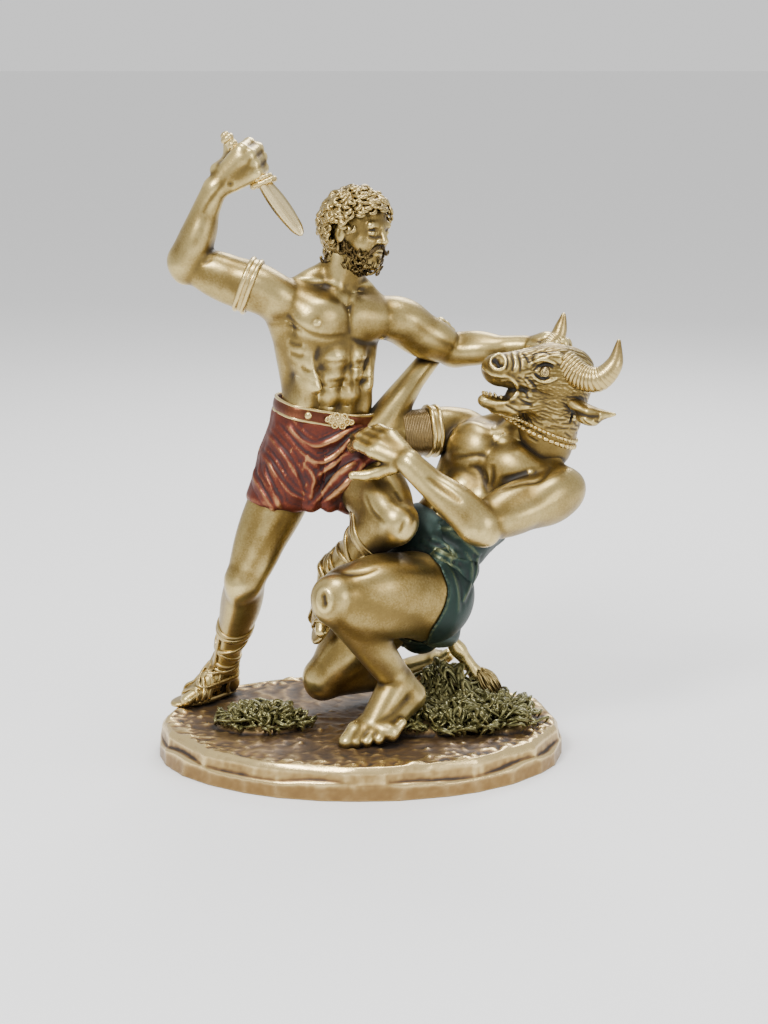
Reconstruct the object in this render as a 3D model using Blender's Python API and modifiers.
"""Cast group of a hero fighting a minotaur on an oval rock base.

The whole work is one casting, so it is one solid. It is built up like a clay model:
overlapping lumps for bones, muscles, cloth and ground, joined into one skin, smoothed,
thinned to few faces and cut off flat underneath. Lengths of the figures are in
millimetres at the height of the pose below, and everything is scaled from there.
"""

import math

import bmesh
import bpy
import numpy as np
from mathutils import Matrix, Vector

# Driving dimensions, in metres
STATUE_HEIGHT = 0.235
BASE_WIDTH = 0.1547
BASE_DEPTH = 0.122
BASE_THICKNESS = 0.0125

# Quality of the skin, in metres and faces
VOXEL = 0.0009
SMOOTH_ROUNDS = 3
SOLID_TRIANGLES = 9700

# The pose below was measured on a statue of this height, in millimetres
POSE_HEIGHT = 235.0
POSE_GROUND = 12.5
MM = (STATUE_HEIGHT - BASE_THICKNESS) / (POSE_HEIGHT - POSE_GROUND)

# Finish: old gold over dark brown
BRONZE_COLOUR = (0.42, 0.31, 0.14, 1.0)
BRONZE_ROUGHNESS = 0.35
BRONZE_METALLIC = 0.9


# Vectors and frames

def vec(*numbers):
    return np.array(numbers, float)


def unit(v):
    return np.asarray(v, float) / np.linalg.norm(v)


def mix(a, b, share):
    return np.asarray(a, float) * (1 - share) + np.asarray(b, float) * share


def turned(v, axis, degrees):
    """v turned about an axis by the right-hand rule."""
    rotation = Matrix.Rotation(math.radians(degrees), 3, Vector(axis))
    return np.array(rotation @ Vector(v))


class Frame:
    """A place on a figure, with the figure's own left, front and up."""

    def __init__(self, origin, front, up):
        self.origin = np.array(origin, float)
        self.up = unit(up)
        front = np.asarray(front, float)
        self.front = unit(front - self.up * (front @ self.up))
        self.left = np.cross(self.up, self.front)

    def at(self, left=0.0, front=0.0, up=0.0):
        return self.origin + self.left * left + self.front * front + self.up * up

    def way(self, left=0.0, front=0.0, up=0.0):
        return unit(self.left * left + self.front * front + self.up * up)


class Bone:
    """A stretch between two joints: t runs from 0 to 1 along it, front and side across it."""

    def __init__(self, start, end, front):
        self.start = np.array(start, float)
        self.end = np.array(end, float)
        self.length = float(np.linalg.norm(self.end - self.start))
        self.along = unit(self.end - self.start)
        front = np.asarray(front, float)
        self.front = unit(front - self.along * (front @ self.along))
        self.side = np.cross(self.along, self.front)

    def at(self, t, front=0.0, side=0.0):
        return mix(self.start, self.end, t) + self.front * front + self.side * side


class Clay:
    """Overlapping closed lumps, kept apart until they are joined into one skin."""

    def __init__(self):
        bm = bmesh.new()
        bmesh.ops.create_uvsphere(bm, u_segments=16, v_segments=10, radius=1.0)
        self.sphere = np.array([vertex.co[:] for vertex in bm.verts])
        self.upper_half = self.sphere[:, 2:] > 0.01
        self.sphere_faces = [[vertex.index for vertex in face.verts] for face in bm.faces]
        bm.free()
        self.points = []
        self.faces = []
        self.count = 0

    def add(self, points, faces, mirrored=False):
        """Keeps a closed lump. A mirrored one has its faces turned to look outwards again."""
        step = -1 if mirrored else 1
        self.points.append(points)
        self.faces += [[index + self.count for index in face[::step]] for face in faces]
        self.count += len(points)

    def add_sphere(self, low, high, axes, shares):
        """A sphere stretched along three axes; shares sizes its lower and its upper half."""
        scale = np.where(self.upper_half, shares[1], shares[0])
        points = np.where(self.upper_half, high, low) + (self.sphere * scale) @ axes
        self.add(points, self.sphere_faces, np.linalg.det(axes) < 0)

    def ball(self, centre, radii, frame):
        """An ellipsoid, its radii along the frame's left, front and up."""
        axes = np.array([frame.left, frame.front, frame.up]) * np.reshape(radii, (3, 1))
        self.add_sphere(centre, centre, axes, (1.0, 1.0))

    def cone(self, a, b, ra, rb, flat=None, squash=1.0):
        """Two round ends of different size and what lies between, squashed along flat."""
        a, b = np.asarray(a, float), np.asarray(b, float)
        along = unit(b - a)
        guide = unit(flat if flat is not None else vec(0.3, 0.5, 0.8))
        if abs(guide @ along) > 0.95:
            guide = vec(1, 0, 0) if abs(along[0]) < 0.7 else vec(0, 1, 0)
        thin = unit(guide - along * (guide @ along))
        axes = np.array([thin * squash, np.cross(along, thin), along])
        self.add_sphere(a, b, axes, (ra, rb))

    def muscle(self, a, b, width, depth, front):
        """A spindle from a to b, so wide across and so deep towards its front."""
        bone = Bone(a, b, front)
        axes = np.array([bone.side * width, bone.front * depth, bone.along * bone.length / 2])
        middle = bone.at(0.5)
        self.add_sphere(middle, middle, axes, (1.0, 1.0))

    def chain(self, points, radii, flat=None, squash=1.0):
        """Cones joined end to end along a line of points."""
        for a, b, ra, rb in zip(points, points[1:], radii, radii[1:]):
            self.cone(a, b, ra, rb, flat, squash)


# Limbs, with sizes in millimetres for a figure of scale 1

def arm(clay, shoulder, elbow, wrist, outward, k):
    """Upper arm and forearm. outward points from the trunk to the cap of the shoulder."""
    shoulder, elbow, wrist = map(np.asarray, (shoulder, elbow, wrist))
    upper = Bone(shoulder, elbow, wrist - elbow)
    out = np.sign(upper.side @ np.asarray(outward, float)) or 1.0
    clay.cone(shoulder, elbow, 5.6 * k, 4.3 * k)
    clay.muscle(upper.at(0.10, 1.8 * k), upper.at(0.97, 2.0 * k), 4.9 * k, 4.6 * k, upper.front)
    clay.muscle(upper.at(0.08, -2.4 * k, 2.0 * k * out), upper.at(0.86, -1.9 * k, 1.6 * k * out),
                4.0 * k, 3.9 * k, upper.front)
    clay.muscle(upper.at(0.05, -2.2 * k, -1.8 * k * out), upper.at(0.92, -1.8 * k, -1.4 * k * out),
                3.8 * k, 3.7 * k, upper.front)
    cap = unit(np.asarray(outward, float))
    clay.muscle(shoulder - upper.along * 5.5 * k + cap * 1.2 * k, upper.at(0.55) + cap * 2.6 * k,
                6.6 * k, 5.4 * k, cap)
    clay.cone(upper.at(0.97, -2.6 * k), elbow, 2.9 * k, 3.6 * k)
    lower = Bone(elbow, wrist, shoulder - elbow)
    clay.cone(elbow, wrist, 4.2 * k, 2.9 * k)
    clay.muscle(lower.at(-0.10, 1.2 * k, 2.0 * k), lower.at(0.72, 0.8 * k, 0.9 * k),
                3.6 * k, 3.9 * k, lower.front)
    clay.muscle(lower.at(-0.12, 1.0 * k, -2.1 * k), lower.at(0.66, 0.3 * k, -1.0 * k),
                3.6 * k, 3.7 * k, lower.front)
    clay.cone(lower.at(0.05, -2.0 * k), lower.at(0.95, -0.8 * k), 2.6 * k, 2.3 * k)


def leg(clay, hip, knee, ankle, outward, k, thigh_girth=1.0):
    """Thigh and lower leg, the kneecap facing away from the bend."""
    hip, knee, ankle = map(np.asarray, (hip, knee, ankle))
    g = k * thigh_girth
    thigh = Bone(hip, knee, knee - ankle)
    out = np.sign(thigh.side @ np.asarray(outward, float)) or 1.0
    clay.cone(hip, knee, 9.0 * g, 5.3 * k)
    clay.muscle(thigh.at(-0.02, 3.6 * g), thigh.at(0.98, 2.6 * k), 4.8 * g, 5.2 * g, thigh.front)
    clay.muscle(thigh.at(0.0, 1.4 * g, 4.2 * g * out), thigh.at(0.96, 1.6 * k, 2.6 * k * out),
                4.6 * g, 5.8 * g, thigh.front)
    clay.muscle(thigh.at(0.35, 1.8 * g, -3.8 * g * out), thigh.at(1.03, 1.4 * k, -3.0 * k * out),
                3.7 * g, 4.3 * g, thigh.front)
    clay.muscle(thigh.at(-0.1, -1.0 * g, -4.2 * g * out), thigh.at(0.72, -0.6 * g, -3.2 * g * out),
                5.0 * g, 6.2 * g, thigh.front)
    for side in (-1, 1):
        clay.muscle(thigh.at(0.02, -4.2 * g, side * 2.4 * g), thigh.at(1.02, -2.6 * k, side * 2.8 * k),
                    3.7 * g, 4.4 * g, thigh.front)
    shin = Bone(knee, ankle, thigh.along - unit(ankle - knee) * 0.2)
    cap = Frame(mix(knee, ankle, 0.02), shin.front + thigh.front, -shin.along)
    clay.ball(cap.at(front=3.6 * k), vec(3.0, 2.6, 3.6) * k, cap)
    clay.cone(knee, ankle, 5.0 * k, 3.1 * k)
    clay.cone(shin.at(0.08, 2.6 * k), shin.at(0.95, 0.9 * k), 2.5 * k, 2.0 * k)
    clay.muscle(shin.at(-0.08, -2.6 * k, -2.1 * k * out), shin.at(0.66, -2.2 * k, -1.2 * k * out),
                4.1 * k, 4.9 * k, shin.front)
    clay.muscle(shin.at(-0.08, -2.4 * k, 2.2 * k * out), shin.at(0.60, -2.0 * k, 1.4 * k * out),
                3.9 * k, 4.6 * k, shin.front)
    clay.muscle(shin.at(0.15, -1.0 * k), shin.at(0.92, -1.4 * k), 3.9 * k, 3.9 * k, shin.front)
    clay.cone(shin.at(0.72, -2.3 * k), shin.at(1.02, -2.7 * k), 1.9 * k, 1.8 * k)
    for side in (-1, 1):
        clay.cone(shin.at(0.90, 0.0, side * 1.6 * k), shin.at(0.99, -0.2, side * 2.5 * k), 1.8 * k, 1.7 * k)


def foot(clay, ankle, heel, toe, up, inner, k):
    """A foot from heel to toe. inner points to the big toe's side."""
    ankle, heel, toe = map(np.asarray, (ankle, heel, toe))
    frame = Frame(heel, toe - heel, up)
    length = float(np.linalg.norm(toe - heel))
    side = np.sign(frame.left @ np.asarray(inner, float)) or 1.0
    clay.cone(frame.at(front=1.5 * k, up=3.0 * k), ankle, 3.5 * k, 3.5 * k)
    clay.cone(ankle + frame.front * 1.5 * k, frame.at(0.8 * side * k, length * 0.62, 2.6 * k), 3.6 * k, 2.6 * k)
    clay.cone(frame.at(front=2.0 * k, up=2.6 * k), frame.at(-1.6 * side * k, length * 0.62, 1.9 * k),
              3.0 * k, 2.2 * k)
    clay.cone(frame.at(2.3 * side * k, length * 0.66, 2.1 * k),
              frame.at(-2.9 * side * k, length * 0.60, 1.8 * k), 2.5 * k, 2.0 * k)
    clay.cone(ankle + frame.front * 2.0 * k, frame.at(1.8 * side * k, length * 0.66, 2.4 * k), 3.2 * k, 2.2 * k)
    for index in range(5):
        across = (3.1 - 1.75 * index) * side * k
        reach = length * (1.0 - 0.045 * index * (1 + 0.35 * index) / 1.4)
        radius = (1.75 if index == 0 else 1.25 - 0.06 * index) * k
        knuckle = frame.at(across, reach - 4.6 * k, 2.6 * k)
        clay.cone(frame.at(across * 0.8, length * 0.62, 2.0 * k), knuckle, radius, radius)
        clay.cone(knuckle, frame.at(across, reach - 1.4 * k, 1.4 * k), radius, radius * 1.05)


def hand(clay, wrist, knuckles, back, thumb_side, curl, k, spread=0.0, thumb_curl=35.0):
    """A hand whose fingers bend by the three curl angles, away from its back."""
    wrist, knuckles = np.asarray(wrist, float), np.asarray(knuckles, float)
    frame = Frame(wrist, back, knuckles - wrist)
    side = np.sign(frame.left @ np.asarray(thumb_side, float)) or 1.0
    palm = float(np.linalg.norm(knuckles - wrist))
    clay.cone(wrist, frame.at(1.6 * side * k, 0.0, palm * 0.82), 2.8 * k, 2.6 * k, frame.front, 0.85)
    clay.cone(wrist, frame.at(-2.2 * side * k, -0.2 * k, palm * 0.78), 2.7 * k, 2.3 * k, frame.front, 0.85)
    axis = -frame.left
    for index in range(4):
        across = (3.6 - 2.4 * index) * side * k
        finger = (1.0, 1.1, 1.03, 0.84)[index]
        way = turned(frame.up, frame.front, -side * spread * (1.5 - index))
        point = frame.at(across, 0.2 * k, palm * (0.94, 1.0, 0.96, 0.88)[index])
        clay.cone(frame.at(across * 0.7, 0.3 * k, palm * 0.35), point, 1.3 * k, 1.5 * k)
        radius = 1.45 * k
        for bend, bone_length in zip(curl, (5.2, 3.7, 2.9)):
            way = turned(way, axis, bend)
            end = point + way * bone_length * finger * k
            clay.cone(point, end, radius, radius * 0.93)
            point, radius = end, radius * 0.93
    thumb = frame.at(3.2 * side * k, -1.0 * k, palm * 0.25)
    way = unit(frame.up * 0.8 + frame.left * side * 0.75 - frame.front * 0.45)
    radius = 1.9 * k
    for bone_length in (4.6, 3.8, 3.0):
        end = thumb + way * bone_length * k
        clay.cone(thumb, end, radius, radius * 0.86)
        thumb, radius = end, radius * 0.86
        way = turned(way, frame.up, -side * thumb_curl)
        way = turned(way, axis, thumb_curl * 0.35)


def trunk(clay, pelvis, chest, neck_top, shoulders, k, h=1.0):
    """Pelvis, belly, rib cage, chest and back muscles and neck of a bare figure."""
    waist = Frame(mix(pelvis.origin, chest.origin, 0.46), pelvis.front + chest.front, chest.up + pelvis.up)
    clay.ball(chest.at(front=-0.5 * k, up=-1.0 * h), vec(15.2 * k, 10.4 * k, 20.0 * h), chest)
    clay.ball(waist.origin, vec(11.4 * k, 8.8 * k, 16.0 * h), waist)
    clay.ball(pelvis.at(up=1.0 * h), vec(14.2 * k, 10.2 * k, 14.0 * h), pelvis)
    neck = chest.at(front=-1.0 * k, up=15.0 * h)
    clay.cone(neck, neck_top, 6.0 * k, 5.2 * k)
    for side, joint in zip((-1, 1), shoulders):
        joint = np.asarray(joint, float)
        clay.cone(chest.at(side * 4.0 * k, -0.5 * k, 10.5 * h), joint, 6.6 * k, 5.4 * k)
        tilt = Frame(chest.origin, chest.way(side * 0.28, 1.0, 0.10), chest.way(side * 0.25, 0.0, 1.0))
        clay.ball(chest.at(side * 7.6 * k, 6.6 * k, 7.0 * h), vec(7.9 * k, 4.6 * k, 8.6 * h), tilt)
        clay.muscle(chest.at(side * 4.0 * k, 6.8 * k, 8.0 * h), joint + chest.front * 1.5 * k, 4.9 * k, 4.4 * k,
                    chest.front)
        clay.cone(chest.at(side * 13.0 * k, -2.5 * k, 5.0 * h), waist.at(side * 8.0 * k, -1.6 * k, 0.0),
                  5.0 * k, 4.0 * k)
        clay.cone(chest.at(side * 12.6 * k, -3.0 * k, 5.0 * h), joint - chest.front * 2.0 * k, 4.8 * k, 4.4 * k)
        clay.muscle(mix(neck, neck_top, 0.75) - chest.front * 2.0 * k, mix(neck, joint, 0.9), 3.6 * k, 3.4 * k,
                    -chest.front)
        clay.ball(chest.at(side * 7.0 * k, -7.2 * k, 4.0 * h), vec(6.4 * k, 4.2 * k, 11.0 * h), chest)
        clay.cone(chest.at(side * 3.2 * k, -7.6 * k, -6.0 * h), pelvis.at(side * 3.0 * k, -6.8 * k, 4.0 * h),
                  3.6 * k, 3.5 * k)
        clay.cone(chest.at(side * 1.5 * k, 6.4 * k, 14.4 * h), mix(chest.at(side * 9.0 * k, 4.0 * k, 16.0 * h), joint, 0.6),
                  1.5 * k, 1.4 * k)
        clay.cone(chest.at(side * 1.3 * k, 5.2 * k, 14.2 * h), neck_top + chest.left * side * 3.8 * k, 1.6 * k, 2.1 * k)
        for row in range(4):
            rib = chest.at(side * (12.2 - 0.8 * row) * k, (3.4 + 0.8 * row) * k, (-2.5 - 4.6 * row) * h)
            clay.muscle(rib + chest.way(side * 0.5, -0.9, 0.5) * 4.2 * k, rib + chest.way(side * -0.5, 0.9, -0.5) * 3.4 * k,
                        1.9 * k, 1.9 * k, chest.way(side, 0.6, 0))
        rows = ((0.00, 3.3, 3.6), (0.34, 3.4, 3.6), (0.68, 3.4, 3.7), (1.12, 3.4, 6.0))
        for share, across, tall in rows:
            spot = mix(chest.at(side * 3.5 * k, 8.0 * k, -6.5 * h), waist.at(side * 3.2 * k, 7.4 * k, -4.0 * h), share)
            clay.ball(spot, vec(across * k, 2.7 * k, tall * h), waist)
        clay.muscle(chest.at(side * 9.2 * k, 3.4 * k, -13.0 * h), pelvis.at(side * 9.8 * k, 3.0 * k, 6.0 * h),
                    4.2 * k, 5.2 * k, waist.front)
        clay.ball(pelvis.at(side * 6.4 * k, -5.4 * k, -4.0 * h), vec(7.4 * k, 6.8 * k, 9.5 * h), pelvis)


# The two figures

def hero(clay):
    k = 1.27
    pelvis = Frame(vec(-15.5, 8, 116), vec(0.375, -0.927, 0.05), vec(0.05, -0.02, 1))
    waist = Frame(vec(-13.2, 7.5, 130.5), vec(0.375, -0.927, 0.05), vec(0.20, -0.02, 1))
    chest = Frame(vec(-11.5, 5, 158.5), vec(0.60, -0.80, 0.05), vec(0.03, 0.02, 1))
    neck_top = vec(-4.0, 4.5, 189)
    shoulder_r, elbow_r, wrist_r = vec(-31, -5, 174), vec(-63.7, -2, 186.5), vec(-51.7, -6, 214)
    shoulder_l, elbow_l, wrist_l = vec(12, 12, 164), vec(36, 21, 151), vec(62, 13, 154)
    trunk(clay, pelvis, chest, neck_top, (shoulder_r, shoulder_l), k)
    arm(clay, shoulder_r, elbow_r, wrist_r, vec(0, 0.2, 1), k * 1.12)
    arm(clay, shoulder_l, elbow_l, wrist_l, vec(0.4, 0, 1), k * 1.08)
    hip_r, knee_r, ankle_r = vec(-25, 4, 111), vec(-43.8, -2, 67), vec(-54.5, 27, 23)
    hip_l, knee_l, ankle_l = vec(-3, 11, 110), vec(14, -21, 94), vec(-11, 5, 69)
    leg(clay, hip_r, knee_r, ankle_r, vec(-1, 0, 0), k * 1.08, 0.92)
    leg(clay, hip_l, knee_l, ankle_l, vec(1, 0.5, 0), k * 1.12)
    foot(clay, ankle_r, vec(-51.5, 33, 13.5), vec(-72, 14, 13.5), vec(0, 0, 1), vec(0.6, -0.6, 0), k * 1.1)
    foot(clay, ankle_l, vec(-8, 12, 62), vec(-18.5, -4, 46), vec(-0.75, -0.3, 0.6), vec(0.5, -0.6, 0), k)
    hand(clay, wrist_r, vec(-38.5, -7, 224.5), vec(0.1, -1, 0.1), vec(-0.75, 0, 0.7), (70, 90, 70), k * 1.1, 0.0, 75.0)
    hand(clay, wrist_l, vec(71, 12.5, 157), vec(-0.1, 0.15, 1), vec(0, -1, 0), (35, 55, 40), k * 0.95)
    hero_head(clay, Frame(vec(-0.5, 3.5, 198), vec(0.78, -0.62, -0.14), vec(0.12, -0.02, 1)))
    kilt(clay, waist, pelvis, hip_r, knee_r, hip_l, knee_l)
    dagger(clay)
    for t in (0.27, 0.33):
        band(clay, shoulder_r, elbow_r, t, 10.4, 1.7)
    sandal(clay, ankle_r, vec(-51.5, 33, 13.5), vec(-72, 14, 13.5), vec(0, 0, 1))
    return pelvis


def band(clay, a, b, t, radius, thickness):
    """A ring round a limb, as a flat round lump."""
    bone = Bone(a, b, vec(0, 0.1, 1))
    frame = Frame(bone.at(t), bone.front, bone.along)
    clay.ball(bone.at(t), vec(radius, radius, thickness), frame)


def hero_head(clay, head):
    """Skull, plain features, beard and a cap of curls."""
    clay.ball(head.at(front=-1.5, up=2.0), vec(10.4, 12.2, 11.8), head)
    clay.ball(head.at(front=4.4, up=-3.0), vec(7.4, 7.4, 9.6), head)
    clay.cone(head.at(front=6.6, up=-9.0), head.at(front=2.0, up=-8.0), 5.0, 7.0)
    clay.cone(head.at(front=10.8, up=2.4), head.at(front=13.6, up=-2.2), 1.2, 1.8)
    clay.cone(head.at(-4.6, 9.6, 3.4), head.at(4.6, 9.6, 3.4), 2.0, 2.0)
    clay.cone(head.at(front=7.6, up=-11.0), head.at(front=7.0, up=-14.0), 4.4, 3.2)
    rows = ((9.0, 12, -1.05), (10.2, 12, -0.65), (10.8, 12, -0.25), (11.2, 13, 0.02), (10.8, 12, 0.30), (8.2, 9, 0.60),
            (4.0, 5, 0.84))
    for radius, count, lift in rows:
        for index in range(count):
            angle = 2 * math.pi * (index + 0.5 * (count % 2)) / count
            back = math.cos(angle)
            around = vec(math.sin(angle) * radius, -1.5 - back * (radius + 1.6), 3.5 + 11.5 * lift)
            hides_face = around[1] > (3 if lift > -0.3 else -3) and lift < 0.25
            if not hides_face:
                clay.ball(head.at(*around), vec(3.0, 3.0, 2.8), head)
    for side in (-1, 1):
        clay.ball(head.at(side * 9.8, -0.5, -1.0), vec(1.6, 2.4, 3.4), head)
        for step in range(4):
            clay.ball(head.at(side * (8.0 - 1.5 * step), 2.4 + 1.7 * step, -7.0 - 1.5 * step), vec(2.6, 2.6, 3.0), head)


def dagger(clay):
    """Pommel, grip, guard and a short leaf blade, held point down."""
    pommel, guard, tip = vec(-47.0, -4, 231.0), vec(-35.0, -5, 217.0), vec(-22.3, -7, 198.2)
    blade = Bone(guard, tip, vec(0.3, -1, 0.2))
    clay.ball(pommel, vec(3.2, 3.2, 3.2), Frame(pommel, vec(0, -1, 0), vec(0, 0, 1)))
    clay.cone(pommel, guard, 1.9, 1.9)
    clay.cone(blade.at(0, 0, -4.4), blade.at(0, 0, 4.4), 1.8, 1.8)
    clay.cone(blade.at(0.05), blade.at(0.75), 3.5, 3.6, blade.front, 0.36)
    clay.cone(blade.at(0.70), blade.at(0.97), 3.6, 1.9, blade.front, 0.36)


def kilt(clay, waist, pelvis, hip_r, knee_r, hip_l, knee_l):
    """A belt and a short skirt whose pleats hang from it and lie over the raised thigh."""
    for index in range(16):
        ends = []
        for step in (index, index + 1):
            angle = 2 * math.pi * step / 16
            ends.append(waist.at(math.sin(angle) * 15.2, math.cos(angle) * 11.6, 0.0))
        clay.cone(ends[0], ends[1], 2.7, 2.7)
    thigh_r = Bone(hip_r, knee_r, pelvis.front)
    thigh_l = Bone(hip_l, knee_l, vec(0, 0, 1))
    for index in range(14):
        angle = 2 * math.pi * index / 14
        top = waist.at(math.sin(angle) * 14.6, math.cos(angle) * 10.8, -3.5)
        low_r = thigh_r.at(0.28) + (pelvis.left * math.sin(angle) + pelvis.front * math.cos(angle)) * 9.6
        low_l = thigh_l.at(0.36) + (thigh_l.front * math.cos(angle) + thigh_l.side * math.sin(angle)) * 11.5
        hip = pelvis.at(math.sin(angle) * 17.4, math.cos(angle) * 12.5, -3.0)
        clay.cone(top, hip, 3.4, 3.2)
        clay.cone(top, low_r, 4.0, 3.0)
        clay.cone(top, low_l, 4.0, 3.0)
        clay.cone(top, pelvis.at(math.sin(angle) * 15.5, math.cos(angle) * 14.0, -18.8), 4.0, 3.0)


def sandal(clay, ankle, heel, toe, up):
    frame = Frame(heel, toe - heel, up)
    length = float(np.linalg.norm(toe - heel))
    clay.cone(frame.at(front=1.0, up=0.5), frame.at(front=length * 0.8, up=0.5), 4.2, 5.4, frame.up, 0.28)
    for t in (0.1, 0.3, 0.45, 0.62):
        across = frame.at(front=length * t, up=3.5)
        clay.ball(across, vec(4.6, 0.8, 4.2), frame)


def minotaur(clay):
    k = 1.45
    pelvis = Frame(vec(19.5, 0, 64), vec(-0.62, -0.72, 0.15), vec(0.28, 0.02, 1))
    chest = Frame(vec(48.0, 3.0, 105), vec(-0.50, -0.866, 0.0), vec(0.486, 0.09, 0.87))
    neck_top = vec(72, 1, 137)
    shoulder_l, elbow_l, wrist_l = vec(74, -10, 104), vec(43, -32, 94.5), vec(18, -25, 117)
    shoulder_r, elbow_r, wrist_r = vec(40, 17, 121), vec(4.0, 5, 121.5), vec(27.0, 24, 148)
    trunk(clay, pelvis, chest, neck_top, (shoulder_r, shoulder_l), k * 0.86, 1.1)
    arm(clay, shoulder_l, elbow_l, wrist_l, vec(1, -0.6, -0.4), k * 1.06)
    arm(clay, shoulder_r, elbow_r, wrist_r, vec(-0.3, 0.5, 1), k * 0.9)
    hip_l, knee_l, ankle_l = vec(24, -9, 63.5), vec(-8.8, -40, 70), vec(14.5, -18, 31)
    hip_r, knee_r, ankle_r = vec(17, 11, 60), vec(-14, 8, 26), vec(13, 27, 21)
    leg(clay, hip_l, knee_l, ankle_l, vec(0, -1, 0.3), k * 1.08, 1.27)
    leg(clay, hip_r, knee_r, ankle_r, vec(0, 1, 0.3), k * 1.06)
    foot(clay, ankle_l, vec(21, -13, 22), vec(-2, -40, 14.5), vec(-0.15, -0.35, 1), vec(-0.7, 0.7, 0), k * 1.25)
    foot(clay, ankle_r, vec(17, 29, 26.5), vec(34, 31, 18.5), vec(0.3, 0, -1), vec(0, -1, 0), k)
    hand(clay, wrist_l, vec(7, -17.5, 123), vec(-0.1, -0.75, 0.65), vec(-0.3, -0.5, 0.6), (20, 30, 20), k * 0.9, 6)
    hand(clay, wrist_r, vec(31, 27, 158), vec(0.2, 1, 0.2), vec(-1, 0, 0.6), (70, 70, 40), k * 0.75)
    bull_head(clay, Frame(vec(66.5, -7, 145.5), vec(-0.93, -0.34, 0.06), vec(0.05, 0.0, 1)), neck_top)
    loincloth(clay, pelvis, hip_l, knee_l)
    for t in (0.40, 0.47):
        band(clay, shoulder_r, elbow_r, t, 9.2, 1.7)
    tail = [vec(19, 8, 58), vec(30, 13, 46), vec(38, 15, 35), vec(45, 16, 25), vec(53, 16, 16)]
    clay.chain(tail, (3.6, 3.0, 2.7, 2.6, 3.4))


def bull_head(clay, head, neck_top):
    """A bull's head with its mouth open, short ringed horns and pointed ears."""
    clay.ball(head.at(front=-5.0, up=1.5), vec(11.5, 13.0, 10.8), head)
    clay.cone(head.at(front=-3.0, up=2.0), head.at(front=15.5, up=2.4), 9.8, 6.2, head.left, 0.95)
    clay.ball(head.at(front=18.2, up=2.7), vec(7.2, 4.8, 5.1), head)
    clay.cone(head.at(front=-8.0, up=-6.0), head.at(front=1.0, up=-8.5), 9.0, 6.6, head.left, 0.9)
    clay.cone(head.at(front=1.0, up=-10.0), head.at(front=16.5, up=-11.2), 5.2, 3.6, head.up, 0.7)
    clay.cone(head.at(front=12.0, up=-11.5), head.at(front=21.0, up=-8.8), 4.4, 3.2, head.up, 0.6)
    clay.cone(neck_top - vec(3, 0, 12), head.at(front=-9.0, up=-3.0), 11.5, 11.0)
    clay.cone(neck_top - vec(3, 0, 18), head.at(front=-12.5, up=2.0), 10.5, 8.5)
    near_horn = [(7.5, -7.0, 5.5), (12.5, -11.0, 1.6), (17.5, -15.5, 1.8), (19.8, -19.8, 7.5), (18.3, -21.8, 16.0)]
    far_horn = [(-7.5, -6.0, 6.0), (-11.5, -8.5, 9.5), (-13.0, -12.0, 13.0), (-13.0, -13.2, 17.5), (-12.5, -13.6, 21.5)]
    clay.chain([head.at(*point) for point in near_horn], (5.6, 5.2, 4.7, 3.4, 0.9))
    clay.chain([head.at(*point) for point in far_horn], (5.2, 4.4, 3.4, 2.7, 1.0))
    for side in (-1, 1):
        clay.cone(head.at(side * 6.4, 4.0, 7.0), head.at(side * 8.2, -2.5, 7.6), 2.4, 2.8)
        clay.ball(head.at(side * 8.2, 1.2, 3.8), vec(1.9, 2.8, 2.4), head)
        clay.cone(head.at(side * 9.0, -9.0, -8.0), head.at(side * 15.0, -13.5, -12.0), 3.0, 5.0, head.up, 0.7)
        clay.cone(head.at(side * 15.0, -13.5, -12.0), head.at(side * 20.0, -21.0, -11.0), 5.0, 1.0, head.up, 0.7)


def loincloth(clay, pelvis, hip, knee):
    """Cloth round the waist and hips, hanging over the near hip."""
    clay.ball(pelvis.at(0, 0.0, 4.0), vec(17.5, 13.0, 16.0), pelvis)
    clay.ball(pelvis.at(2.0, -3.0, -3.0), vec(16.5, 10.0, 15.0), pelvis)
    clay.ball(pelvis.at(0, 0.5, 19.0), vec(15.5, 11.5, 14.0), pelvis)
    clay.cone(pelvis.at(14.5, -1.0, 1.0), pelvis.at(17.5, -2.0, 14.0), 8.0, 7.5)
    clay.cone(vec(19, 8, 51), vec(24, 17, 37), 12.0, 10.0)
    for index in range(6):
        lean = index * 3.0
        clay.cone(pelvis.at(15.0 - lean * 0.2, 7.0 - lean, 16.0), pelvis.at(17.0 - lean * 0.1, 3.0 - lean * 0.9, -13.0),
                  2.4, 2.8)


# The ground

def ground(clay):
    """An oval slab of rock with mounds of turf. It reaches below the foot, to be cut off flat."""
    width, depth = BASE_WIDTH / MM, BASE_DEPTH / MM
    bm = bmesh.new()
    bmesh.ops.create_cone(bm, cap_ends=True, cap_tris=True, segments=72, radius1=1.0, radius2=1.0, depth=1.0)
    points = []
    for vertex in bm.verts:
        x, y, z = vertex.co
        angle = math.atan2(y, x)
        size = 0.992 + 0.008 * math.sin(5 * angle) if z > 0 else 1.0
        points.append((x * size * width / 2, y * size * depth / 2, POSE_GROUND if z > 0 else -4.0))
    faces = [[vertex.index for vertex in face.verts] for face in bm.faces]
    bm.free()
    clay.add(np.array(points), faces)
    turf = Frame(vec(0, 0, 0), vec(0, -1, 0), vec(0, 0, 1))
    mounds = ((-38, -8, 12, 17, 13, 3.4), (30, 4, 13, 27, 21, 5.5), (51, -4, 12, 16, 17, 4.0), (22, -14, 13, 15, 10, 4.5),
              (58, 12, 12, 15, 15, 3.4), (32, 13, 14, 15, 11, 13))
    for x, y, z, half_width, half_depth, height in mounds:
        clay.ball(vec(x, y, z), vec(half_width, half_depth, height), turf)


# Joining the lumps

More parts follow.
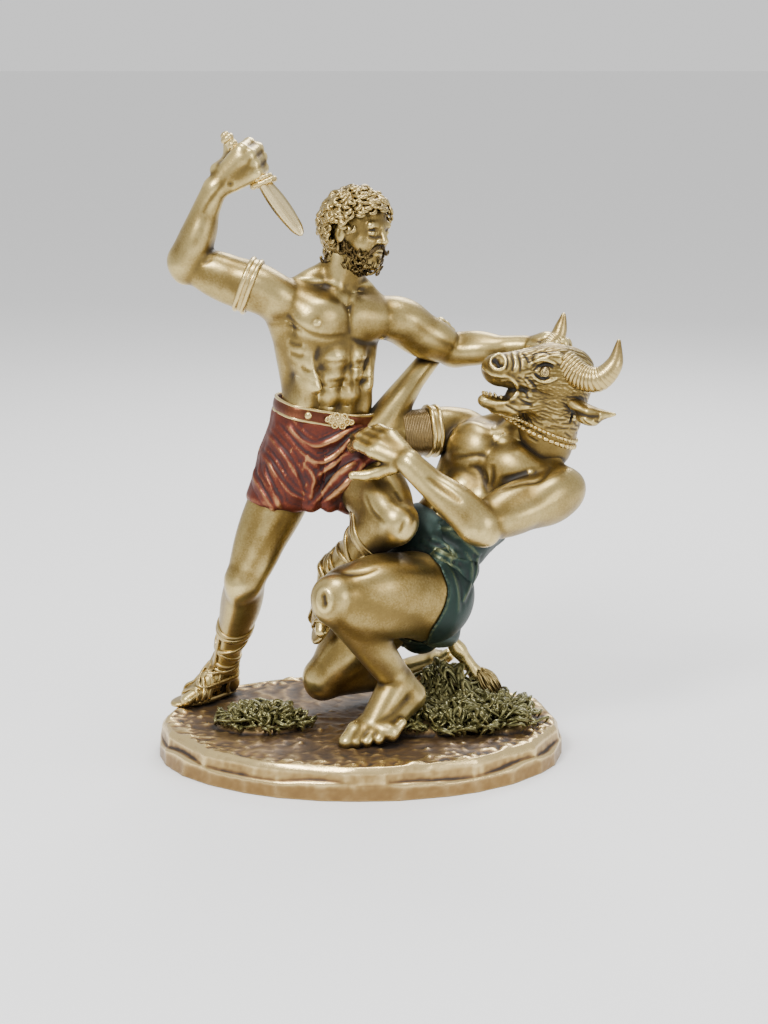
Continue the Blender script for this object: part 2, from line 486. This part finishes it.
def to_world(points):
    """Pose millimetres to metres, keeping the ground at the top of the base."""
    above = BASE_THICKNESS + (points[:, 2] - POSE_GROUND) * MM
    within = points[:, 2] * BASE_THICKNESS / POSE_GROUND
    across = points[:, :2] * MM
    return np.column_stack([across, np.where(points[:, 2] > POSE_GROUND, above, within)])


def evaluated_copy(obj, name):
    graph = bpy.context.evaluated_depsgraph_get()
    mesh = bpy.data.meshes.new_from_object(obj.evaluated_get(graph))
    copy = bpy.data.objects.new(name, mesh)
    bpy.data.objects.remove(obj)
    return copy


def joined_skin(clay, collection):
    """One closed skin round all the lumps, smoothed and thinned."""
    mesh = bpy.data.meshes.new("lumps")
    mesh.from_pydata(to_world(np.vstack(clay.points)), [], clay.faces)
    lumps = bpy.data.objects.new("lumps", mesh)
    collection.objects.link(lumps)
    remesh = lumps.modifiers.new("skin", "REMESH")
    remesh.mode = "VOXEL"
    remesh.voxel_size = VOXEL
    smooth = lumps.modifiers.new("soften", "SMOOTH")
    smooth.factor = 0.5
    smooth.iterations = SMOOTH_ROUNDS
    bpy.context.view_layer.update()
    skin = evaluated_copy(lumps, "skin")
    collection.objects.link(skin)
    thin = skin.modifiers.new("thin", "DECIMATE")
    triangles = sum(len(face.vertices) - 2 for face in skin.data.polygons)
    thin.ratio = SOLID_TRIANGLES / triangles
    thin.use_collapse_triangulate = True
    bpy.context.view_layer.update()
    return evaluated_copy(skin, "minotaur_group")


def cut_flat(obj):
    """Cuts the underside off at z = 0 and closes it with one flat face."""
    bm = bmesh.new()
    bm.from_mesh(obj.data)
    geometry = bm.verts[:] + bm.edges[:] + bm.faces[:]
    cut = bmesh.ops.bisect_plane(bm, geom=geometry, plane_co=(0, 0, 0), plane_no=(0, 0, 1), clear_inner=True)
    rim = [item for item in cut["geom_cut"] if isinstance(item, bmesh.types.BMEdge)]
    bmesh.ops.contextual_create(bm, geom=rim)
    bmesh.ops.recalc_face_normals(bm, faces=bm.faces)
    bmesh.ops.triangulate(bm, faces=bm.faces)
    bm.to_mesh(obj.data)
    bm.free()


def bronze():
    material = bpy.data.materials.new("cold_cast_bronze")
    material.use_nodes = True
    shader = material.node_tree.nodes["Principled BSDF"]
    shader.inputs["Base Color"].default_value = BRONZE_COLOUR
    shader.inputs["Roughness"].default_value = BRONZE_ROUGHNESS
    shader.inputs["Metallic"].default_value = BRONZE_METALLIC
    return material


def main():
    for old in list(bpy.data.objects):
        bpy.data.objects.remove(old)
    collection = bpy.data.collections.new("minotaur_statue")
    bpy.context.scene.collection.children.link(collection)
    clay = Clay()
    ground(clay)
    hero(clay)
    minotaur(clay)
    statue = joined_skin(clay, collection)
    collection.objects.link(statue)
    cut_flat(statue)
    statue.data.materials.append(bronze())
    statue.data.shade_smooth()
    statue.data.set_sharp_from_angle(angle=math.radians(60))


main()
